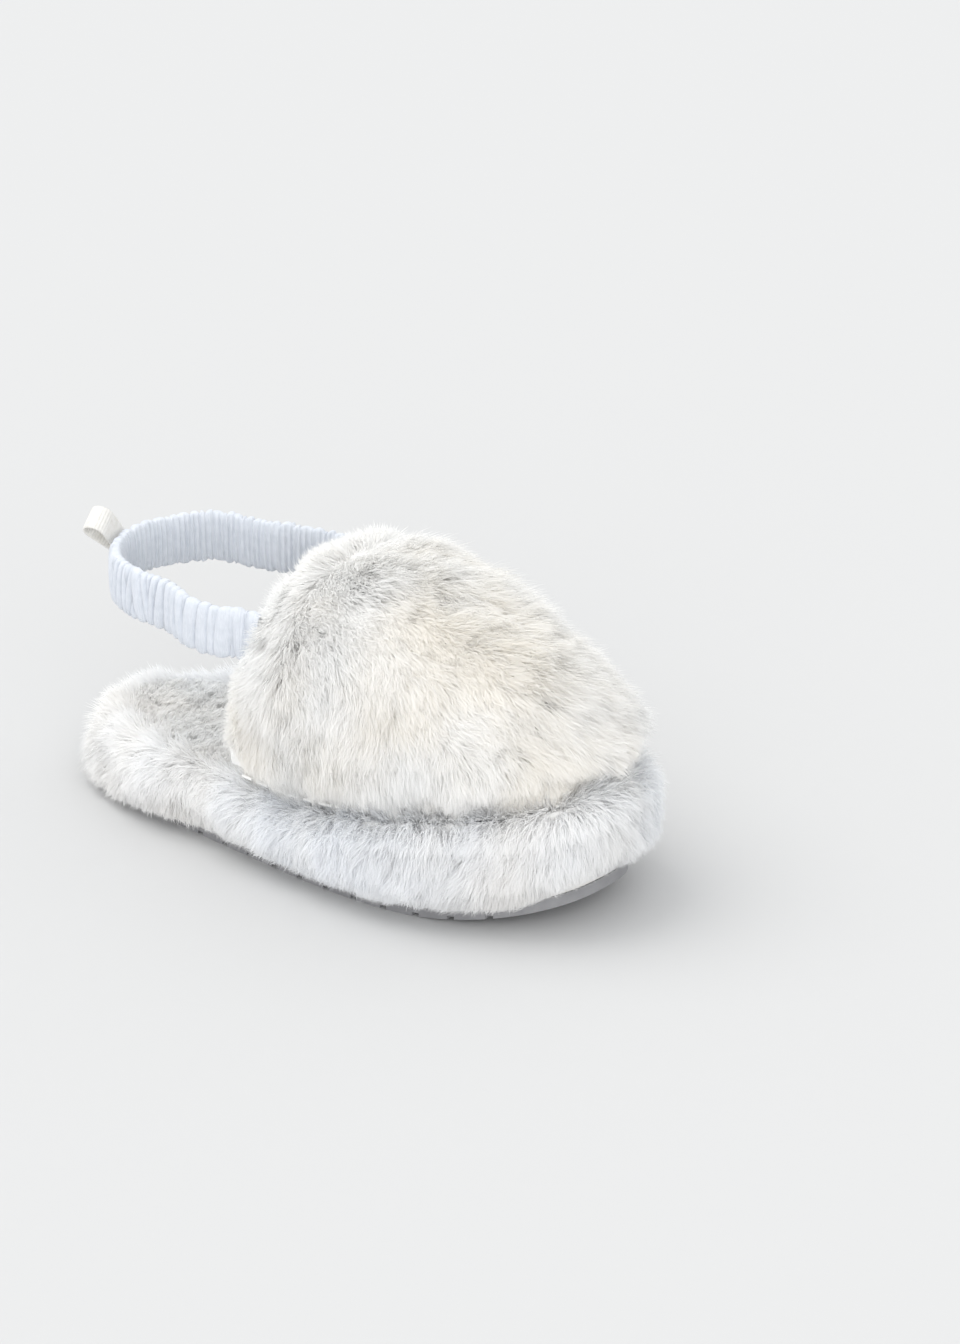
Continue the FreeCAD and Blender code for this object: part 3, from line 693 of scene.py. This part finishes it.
def side_grid(rows, columns):
    """Grid round the platform: rows from the hem up and over the rim, columns round the outline."""
    knots = np.array(SIDE_PROFILE, float)
    place = np.linspace(0, len(knots) - 1, rows)
    profile = np.stack([catmull(knots[:, k], place) for k in range(3)], -1)
    turn = np.linspace(0, 2 * math.pi, columns, endpoint=False)
    grid = np.empty((rows, columns, 3))
    for k, (inset, height, from_rim) in enumerate(profile):
        x, y = footprint(turn, inset)
        lower = 1 - ease((height + RIM_NOMINAL * from_rim - 2) / 10)
        undercut = TOE_UNDERCUT * ease((SPRING_Y - y) / 30) * lower
        waist = WAIST_SLIM * np.exp(-((y - WAIST_Y) / 24) ** 2) * ease(-x / 10) * (0.5 + 0.5 * lower)
        upper = ease((height + RIM_NOMINAL * from_rim - 4) / 6)
        slim = HEEL_SLIM * ease((y - HEEL_START_Y) / HEEL_RUN) * upper
        x, y = footprint(turn, inset + undercut + slim)
        x = x + waist
        top = rim_height(y) + toe_swell(y) - HEEL_DROP * ease((y - 32) / 26)
        low = np.clip(from_rim, 0, 1) * top
        hem = (np.minimum(hem_height(y), 3.2) - 1.7) * lower
        grid[k] = np.stack([x, y, lift(y) + low + height + hem], -1)
    return grid


def toe_swell(y):
    return TOE_SWELL * ease((2.0 - y) / 45.0)


def hem_height(y):
    return np.interp(y, HEM_TABLE[:, 0], HEM_TABLE[:, 1])


def catmull(values, place):
    """Smooth curve through values at fractional places."""
    padded = np.concatenate([[2 * values[0] - values[1]], values, [2 * values[-1] - values[-2]]])
    i = np.clip(np.floor(place).astype(int), 0, len(values) - 2)
    t = place - i
    a, b, c, d = (padded[i + k] for k in range(4))
    square, cube = 2 * a - 5 * b + 4 * c - d, 3 * b - a - 3 * c + d
    return 0.5 * (2 * b + (c - a) * t + square * t ** 2 + cube * t ** 3)


def make_sidewall():
    grid = outward(side_grid(48, 420), wrap_columns=True)
    normals = grid_normals(grid, wrap_columns=True)
    lumps = 0.4 * noise(grid, 5, 2.7)[..., None]
    outer = grid + normals * (0.4 + lumps)
    inner = grid - normals * 0.5
    backing = closed_sheet("sidewall_backing", outer, inner, BACKING, wrap_columns=True)
    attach(backing, "slipper")
    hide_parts("sidewall_fur")

    level = np.linspace(0, 1, len(grid))[:, None]
    comb = np.zeros_like(grid)
    comb[..., 2] = -1.0
    outwards = unit(grid * np.array([1.0, 1.0, 0.0]))
    comb += outwards * (0.7 * ease((level - 0.45) / 0.3) - 0.5 * ease((0.35 - level) / 0.35))[..., None]
    under_vamp = ease((20 - grid[..., 1]) / 8) * ease((level - 0.82) / 0.1)
    # Beside the vamp the rim's fur leans on it
    comb -= outwards * (1.5 * under_vamp)[..., None]
    length = SIDE_STRAND + 0.8 * noise(grid, 12, 9.4)
    length = length * (1 - 0.12 * ease((level - 0.80) / 0.2)) * (1 - 0.55 * ease((0.36 - level) / 0.30))
    length = length * (1 + 0.25 * noise(grid, 6, 2.9) * ease((level - 0.6) / 0.3))
    at_heel = ease((grid[..., 1] - HEEL_START_Y) / HEEL_RUN)
    length = length * (1 - 0.30 * at_heel * ease((level - 0.4) / 0.25))
    pile = grow_pile("sidewall_pile", grid, comb, length, SIDE_FUR, SIDE_DENSITY, 0.8, "slipper", 5,
                     wrap_columns=True, tilt=(0.45, 1.25), warm=-0.06, gather=0.55,
                     hem=lambda y: lift(y) + hem_height(y))


BED_INSET = 9.6              # the footbed's edge, drawn in from the platform's outline
BED_PILE = 2.2               # depth of the footbed's pile
BED_DISH = 0.6               # how far its middle lies below its border
BED_CLOTH = 1.0              # thickness of the cloth under the pile
BED_PILE_FRONT_Y = -12.0     # ahead of this the vamp hides the footbed, and it has no pile
BED_STRAND = 2.8             # usual length of the footbed's strands
BED_DENSITY = 20             # strands per square millimetre


def make_footbed():
    """Plush cover over the footbed foam: a low dished pad with short pile."""
    rings = 40
    turn = np.linspace(0, 2 * math.pi, 240, endpoint=False)
    rows = []
    for share in np.arange(rings + 1) / rings:
        x, y = footprint(turn, BED_INSET)
        x, y = x * (1 - share), y * (1 - share)
        dish = 0.5 - ease((share - 0.1) / 0.5)
        z = lift(y) + PLUSH_TOP - BED_PILE + dish * BED_DISH - ease((0.04 - share) / 0.04)
        rows.append(np.stack([x, y, z], -1))
    grid = outward_up(np.array(rows))
    grid[..., 2] += 0.25 * noise(grid, 6, 4.0)
    inner = grid.copy()
    inner[..., 2] -= BED_CLOTH
    inner[0, :, 2] -= 0.6
    pad = closed_sheet("footbed_plush_pad", grid, inner, BACKING, wrap_columns=True)
    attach(pad, "slipper")
    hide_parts("footbed_plush")

    comb = np.broadcast_to(np.array([0.0, -1.0, 0.0]), grid.shape).copy()
    length = BED_STRAND + 0.5 * noise(grid, 6, 8.8)
    following = np.roll(grid[:, :, 1], -1, 1)
    weight = ((grid[:-1, :, 1] + following[1:]) / 2 > BED_PILE_FRONT_Y).astype(float)
    pile = grow_pile("footbed_pile", grid, comb, length, PLUSH, BED_DENSITY, 1.2, "slipper", 33,
                     wrap_columns=True, weight=weight, tuft_radius=0.6, gather=0.5, tilt=(0.25, 1.0))


def outward_up(grid):
    """Grid whose normals point up, its columns reversed if they don't."""
    normals = grid_normals(grid, wrap_columns=True)
    return grid[:, ::-1] if normals[..., 2].mean() < 0 else grid


LINING_INSET = 8.2           # the lining's outer face, drawn in from the dome
LINING_FORWARD = 7.0         # how far its rear edge lies ahead of the topline
LINING_SEAM_GAP = 1.2        # height of its base above the line of the fur rim
LINING_THICKNESS = 1.0


def make_lining():
    """Fleece lining inside the vamp, open at the rear and along its base."""
    outer = outward(vamp_grid(LINING_INSET, 150, 170, 0, 0, LINING_FORWARD, LINING_SEAM_GAP))
    normals = grid_normals(outer)
    nap = 0.22 * noise(outer, 1.3, 0.4)[..., None] + 0.15 * noise(outer, 3.1, 7.7)[..., None]
    inner = outer - normals * (LINING_THICKNESS + nap)
    inner[..., 2] = np.maximum(inner[..., 2], PLUSH_TOP + 0.3)
    lining = closed_sheet("vamp_lining_fleece", outer, inner, FLEECE)
    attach(lining, "slipper")
    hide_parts("vamp_lining")


# ---- Heel strap ---------------------------------------------------------------------------

STRAP_WALL_HALF = 1.5        # half the strap's thickness, between its centre line and its faces
STRAP_HALF = 24.6            # from the middle plane to the centre line, at the hinge
STRAP_BEND_HALF = 20.0       # the same, where the strap bends round the heel
STRAP_STRAIGHT_Y = STRAP_HINGE[1] + 2.0
STRAP_BACK = STRAP_HIGH[1] - STRAP_WALL_HALF
STRAP_HEIGHT = STRAP_HIGH[2] - STRAP_LOW[2]
STRAP_FRONT = STRAP_HINGE[1] - 11.0
STRAP_TUCK_IN = 2.4          # how far each sewn end lies inside the strap's own line
STRAP_GATHERS = 50
CASING_HALF = 1.3            # half the casing's thickness, before its folds
CASING_EDGE = 0.4            # how far its edges stay inside the strap's height
CASING_WALL = 0.3            # thickness of its cloth
FOLD_DEPTH = 1.3             # of the folds on the outer face, before each fold's own share
EDGE_FOLD_DEPTH = 1.1        # of the folds at the upper and lower edges
INNER_RIB_DEPTH = 0.22
RIPPLE_DEPTH = 0.08


def strap_line(count):
    """Points and outward directions along the strap, from its outer end round the heel to its inner end."""
    bend_y = STRAP_BACK - STRAP_BEND_HALF
    middle_y = (STRAP_STRAIGHT_Y + bend_y) / 2
    t = np.linspace(0, 1, 60)
    y = (1 - t) ** 3 * STRAP_STRAIGHT_Y + 3 * t * (1 - t) * middle_y + t ** 3 * bend_y
    x = STRAP_HALF + (STRAP_BEND_HALF - STRAP_HALF) * (3 * t ** 2 - 2 * t ** 3)
    front_y = np.linspace(STRAP_FRONT, STRAP_STRAIGHT_Y, 30)[:-1]
    front_x = STRAP_HALF - STRAP_TUCK_IN * ease((STRAP_HINGE[1] - front_y) / 9)
    arm = np.stack([np.concatenate([front_x, x]), np.concatenate([front_y, y])], -1)
    angle = np.linspace(0, math.pi, 160)[1:-1]
    bend = np.stack([-STRAP_BEND_HALF * np.cos(angle), bend_y + STRAP_BEND_HALF * np.sin(angle)], -1)
    path = np.concatenate([arm * np.array([-1.0, 1.0]), bend, arm[::-1]])
    steps = np.linalg.norm(np.diff(path, axis=0), axis=1)
    place = np.concatenate([[0], np.cumsum(steps)])
    run = np.linspace(0, place[-1], count)
    centre = np.stack([np.interp(run, place, path[:, 0]), np.interp(run, place, path[:, 1]),
                       np.full(count, STRAP_HINGE[2])], -1)
    along = unit(np.gradient(centre, axis=0))
    out = np.stack([-along[:, 1], along[:, 0], np.zeros(count)], -1)
    return run, centre, out, place[-1]


def make_strap():
    """Gathered casing: a flat tube with deep upright folds outside and finer ones inside."""
    count, around = 1100, 40
    run, centre, out, total = strap_line(count)
    rng = np.random.default_rng(40)
    widths = rng.uniform(0.55, 1.5, STRAP_GATHERS)
    edges = np.concatenate([[0], np.cumsum(widths)]) / widths.sum() * total
    depth = rng.uniform(0.5, 1.25, STRAP_GATHERS)
    drop = rng.uniform(0.2, 1.0, STRAP_GATHERS)
    slant = rng.normal(0, 0.10, STRAP_GATHERS)
    inner_phase = rng.uniform(0, 2 * math.pi)

    phi = np.linspace(0, 2 * math.pi, around, endpoint=False)
    # A slim rounded section: phi = 0 faces out, pi / 2 is the top edge
    across = CASING_HALF * power(np.cos(phi), 0.6)
    up = (STRAP_HEIGHT / 2 - CASING_EDGE) * power(np.sin(phi), 0.75)
    rings = np.empty((count, around, 3))
    for k in range(around):
        facing = math.cos(phi[k])
        height = math.sin(phi[k])
        fold = np.clip(np.searchsorted(edges, run, side="right") - 1, 0, STRAP_GATHERS - 1)
        position = run + slant[fold] * up[k]
        fold = np.clip(np.searchsorted(edges, position, side="right") - 1, 0, STRAP_GATHERS - 1)
        inside = (position - edges[fold]) / (edges[fold + 1] - edges[fold])
        ridge = np.sin(math.pi * np.clip(inside, 0, 1)) ** 0.6
        outer_fold = depth[fold] * (ridge - 0.45) * FOLD_DEPTH * max(facing, 0.0) ** 0.4
        inner_wave = np.sin(run * 4.6 + inner_phase + 1.6 * np.sin(run * 0.7))
        inner_rib = INNER_RIB_DEPTH * inner_wave * max(-facing, 0.0) ** 0.5
        edge_fold = drop[fold] * (ridge - 0.5) * EDGE_FOLD_DEPTH * abs(height) ** 3
        ripple = RIPPLE_DEPTH * np.sin(run * 9.0 + 2.0 * height)
        rings[:, k] = centre + out * (across[k] + outer_fold - inner_rib + ripple)[:, None]
        rings[:, k, 2] += up[k] + np.sign(height) * edge_fold
    wander = rng.normal(0, 1, 8)
    sway = sum(wander[n] * np.sin(run * (n + 1) * 0.045 + n) for n in range(8)) * 0.10
    rings[:, :, 2] += sway[:, None]
    wall = CASING_WALL * unit(rings - centre[:, None])
    casing = closed_sheet("strap_gathered_casing", outward(rings, True), outward(rings - wall, True), CASING,
                          wrap_columns=True)
    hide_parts("strap_casing", "strap_end_lateral", "strap_end_medial")
    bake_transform(casing)


TAB_REACH = 6.4
TAB_BASE_RADIUS = 0.65
TAB_HEAD_RADIUS = 2.55
TAB_LEAN = math.radians(24)
TAB_TILT = math.radians(36)
TAB_TURN = math.radians(12)
TAB_WIDTH = 6.0
RIBBON_HALF = 0.26           # half the ribbon's thickness
RIB_PITCH = 0.7
RIB_HEIGHT = 0.05
RIB_SAMPLES = 8              # grid rows along each rib


def make_pull_tab():
    """Grosgrain ribbon folded into a loop, with a rib across it every fraction of a millimetre."""
    spread = math.acos((TAB_BASE_RADIUS - TAB_HEAD_RADIUS) / TAB_REACH)
    head = np.array([0.0, TAB_REACH])
    base = np.zeros(2)
    outline = []
    side = np.array([math.sin(spread), math.cos(spread)])
    start, stop = base + TAB_BASE_RADIUS * side, head + TAB_HEAD_RADIUS * side
    for t in np.linspace(0, 1, 60, endpoint=False):
        outline.append(start + (stop - start) * t)
    for angle in np.linspace(spread, -spread, 80, endpoint=False):
        outline.append(head + TAB_HEAD_RADIUS * np.array([math.sin(angle), math.cos(angle)]))
    mirror = np.array([-1.0, 1.0])
    for t in np.linspace(0, 1, 60, endpoint=False):
        outline.append(stop * mirror + (start - stop) * mirror * t)
    for angle in np.linspace(-spread, spread - 2 * math.pi, 30, endpoint=False):
        outline.append(base + TAB_BASE_RADIUS * np.array([math.sin(angle), math.cos(angle)]))
    outline = np.array(outline)
    steps = np.linalg.norm(np.diff(outline, axis=0, append=outline[:1]), axis=1)
    run = np.concatenate([[0], np.cumsum(steps)[:-1]])
    ribs = round(steps.sum() / RIB_PITCH)
    samples = ribs * RIB_SAMPLES
    place = np.linspace(0, steps.sum(), samples, endpoint=False)
    closed = np.concatenate([outline, outline[:1]])
    full = np.concatenate([run, [steps.sum()]])
    line = np.stack([np.interp(place, full, closed[:, k]) for k in range(2)], -1)
    ahead = unit(np.roll(line, -1, 0) - np.roll(line, 1, 0))
    out = np.stack([-ahead[:, 1], ahead[:, 0]], -1)
    if np.sum(out * (line - line.mean(0))) < 0:
        out = -out

    rib = np.cos(place / steps.sum() * ribs * 2 * math.pi)
    columns = 26
    spots = np.linspace(-0.5, 0.5, columns)
    loops = []
    for side_sign in (1, -1):
        layer = np.empty((samples, columns, 3))
        for c, spot in enumerate(spots):
            edge = ease((abs(spot) - 0.44) / 0.06)
            thick = side_sign * (RIBBON_HALF * (1 - 0.75 * edge) + RIB_HEIGHT * rib * (1 - edge))
            point = line + out * thick[:, None]
            layer[:, c, 0] = spot * TAB_WIDTH + 0.06 * rib * np.sign(spot) * edge
            layer[:, c, 1] = point[:, 0]
            layer[:, c, 2] = point[:, 1]
        loops.append(layer)
    ring = np.concatenate([loops[0], loops[1][:, ::-1]], axis=1)
    turned = Matrix.Rotation(-TAB_TILT, 3, "Y") @ Matrix.Rotation(-TAB_LEAN, 3, "X")
    turned = Matrix.Rotation(TAB_TURN, 3, "Z") @ turned
    ring = ring @ np.array(turned).T + TAB_HINGE
    faces = grid_faces(samples, columns * 2, wrap_columns=True, wrap_rows=True)
    mesh = mesh_from_arrays("pull_loop_ribbon", ring.reshape(-1, 3), [faces])
    tab = new_object("pull_loop_ribbon", mesh, RIBBON)
    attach(tab, "pull_loop")
    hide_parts("pull_tab")


# ---- Carried-over CAD nodes ---------------------------------------------------------------

NODE_MATERIALS = {
    # painted shadow: the dark outsole stands in for the contact shadow under the fur
    "outsole": SHADOW_DARK_RUBBER,
    "midsole": FOAM,
    "insole_board": BOARD,
    "footbed_foam": FOAM,
    "vamp_interlining": FELT,
    "topline_binding": TAPE,
    "vamp_seam_stitches": THREAD,
    "topline_stitches": THREAD,
    "bartack_lateral": THREAD,
    "bartack_medial": THREAD,
    "strap_elastic": ELASTIC,
    "pull_tab_bartack": THREAD,
}


def dress_nodes():
    for node, material in NODE_MATERIALS.items():
        slots = frame["nodes"][node].data.materials
        slots.clear()
        slots.append(material)


# ---- Stage, light and camera --------------------------------------------------------------

CAMERA_AZIMUTH = math.radians(-52)
CAMERA_ELEVATION = math.radians(24)
CAMERA_DISTANCE = 1.4
LENS = 166.7
AIM_RIGHT = 0.0266           # from the origin to the middle of the view, across
AIM_UP = 0.0362              # and up the picture
FLOOR_REACH = 4.0            # metres from the middle of the floor to its edges


def make_stage():
    floor_mesh = bpy.data.meshes.new("floor")
    reach = FLOOR_REACH
    floor_corners = [(-reach, -reach, 0), (reach, -reach, 0), (reach, reach, 0), (-reach, reach, 0)]
    floor_mesh.from_pydata(floor_corners, [], [(0, 1, 2, 3)])
    material, shader = new_material("floor_paper", 1.0)
    shader.inputs["Base Color"].default_value = (0.572, 0.574, 0.577, 1)
    shader.inputs["Specular IOR Level"].default_value = 0.0
    floor = new_object("floor", floor_mesh, material)

    world = bpy.data.worlds.new("studio")
    bpy.context.scene.world = world
    world.use_nodes = True
    background = world.node_tree.nodes["Background"]
    background.inputs["Color"].default_value = (0.985, 0.995, 1.0, 1)
    background.inputs["Strength"].default_value = 1.12

    add_sun("window", 1.0, 50, (1.0, 0.985, 0.96), (0.25, -0.55, -1.0))
    add_sun("front_fill", 1.2, 60, (1.0, 0.995, 0.99), (0.7, 0.6, -0.3))


def add_sun(name, energy, angle, colour, direction):
    sun = bpy.data.lights.new(name, "SUN")
    sun.energy = energy
    sun.angle = math.radians(angle)
    sun.color = colour
    lamp = bpy.data.objects.new(name, sun)
    lamp.rotation_euler = Vector(direction).to_track_quat("-Z", "Y").to_euler()
    bpy.context.scene.collection.objects.link(lamp)


def make_camera():
    a, e = CAMERA_AZIMUTH, CAMERA_ELEVATION
    back = Vector((math.sin(a) * math.cos(e), -math.cos(a) * math.cos(e), math.sin(e)))
    right = Vector((math.cos(a), math.sin(a), 0))
    up = back.cross(right)
    data = bpy.data.cameras.new("camera")
    data.lens = LENS
    data.sensor_width = 36
    data.clip_start = 0.05
    data.clip_end = 20
    camera = bpy.data.objects.new("camera", data)
    camera.location = right * AIM_RIGHT + up * AIM_UP + back * CAMERA_DISTANCE
    camera.rotation_mode = "QUATERNION"
    camera.rotation_quaternion = (-back).to_track_quat("-Z", "Y")
    bpy.context.scene.collection.objects.link(camera)
    bpy.context.scene.camera = camera


def set_looks():
    scene = bpy.context.scene
    scene.view_settings.view_transform = "Standard"
    scene.cycles.max_bounces = 16
    scene.cycles.diffuse_bounces = 12
    scene.cycles.glossy_bounces = 3
    scene.cycles.transmission_bounces = 12


make_vamp()
make_sidewall()
make_footbed()
make_lining()
make_strap()
make_pull_tab()
dress_nodes()
make_stage()
make_camera()
set_looks()
